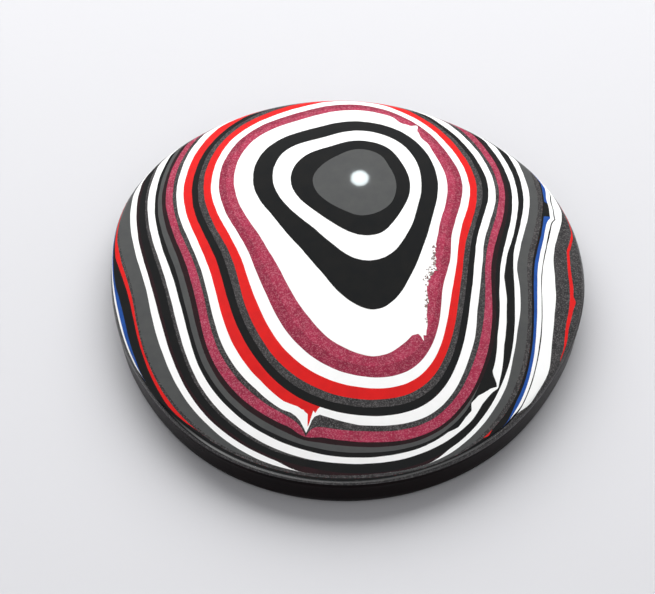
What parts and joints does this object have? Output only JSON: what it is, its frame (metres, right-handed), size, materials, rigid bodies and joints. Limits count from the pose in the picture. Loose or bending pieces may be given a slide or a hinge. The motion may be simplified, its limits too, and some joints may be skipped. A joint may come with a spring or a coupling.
{
  "type": "layered paint cabochon",
  "caption": "Round, low-domed, flat-backed polished stone cut from built-up enamel coats, each coat coming out as a ring of colour.",
  "frame": {"origin": "centre of the flat back", "axes": "+Z out of the flat back through the dome; +Y towards the side where the smallest ring lies"},
  "size_m": [0.0399, 0.041, 0.0067],
  "materials": {
    "grey": "polished enamel",
    "black": "polished enamel",
    "white": "polished enamel",
    "raspberry": "polished enamel with fine metallic flake",
    "red": "polished enamel",
    "charcoal": "polished enamel with coarse metallic flake",
    "maroon": "polished enamel",
    "blue": "polished enamel"
  },
  "bodies": {
    "root": {"coat_01_grey_crown": "grey", "coat_02_black_round_crown": "black", "coat_03_white_inner": "white", "coat_04_black_tongue": "black", "coat_05_white_tongue": "white", "coat_06_raspberry_first_pass": "raspberry", "coat_07_raspberry_second_pass": "raspberry", "coat_08_white_under_raspberry": "white", "coat_09_red_main": "red", "coat_10_charcoal_main": "charcoal", "coat_11_black_under_charcoal": "black", "coat_12_red_left": "red", "coat_13_white_with_drip": "white", "coat_14_charcoal_thin": "charcoal", "coat_15_raspberry_outer": "raspberry", "coat_16_maroon_dark": "maroon", "coat_17_grey_thin": "grey", "coat_18_black_thin": "black", "coat_19_white_outer": "white", "coat_20_charcoal_fringe": "charcoal", "coat_21_black_outer": "black", "coat_22_maroon_fringe": "maroon", "coat_23_white_line": "white", "coat_24_grey_outer": "grey", "coat_25_charcoal_outer": "charcoal", "coat_26_red_fine": "red", "coat_27_black_rim": "black", "coat_28_blue_line": "blue", "coat_29_white_rim_first": "white", "coat_30_black_hairline": "black", "coat_31_white_rim_second": "white", "coat_32_charcoal_rim": "charcoal", "coat_33_red_rim": "red", "coat_34_charcoal_last": "charcoal", "coat_35_maroon_base": "maroon", "coat_36_grey_hairline": "grey", "coat_37_black_base": "black", "coat_38_maroon_hairline": "maroon", "coat_39_black_back": "black"}
  },
  "joints": []
}
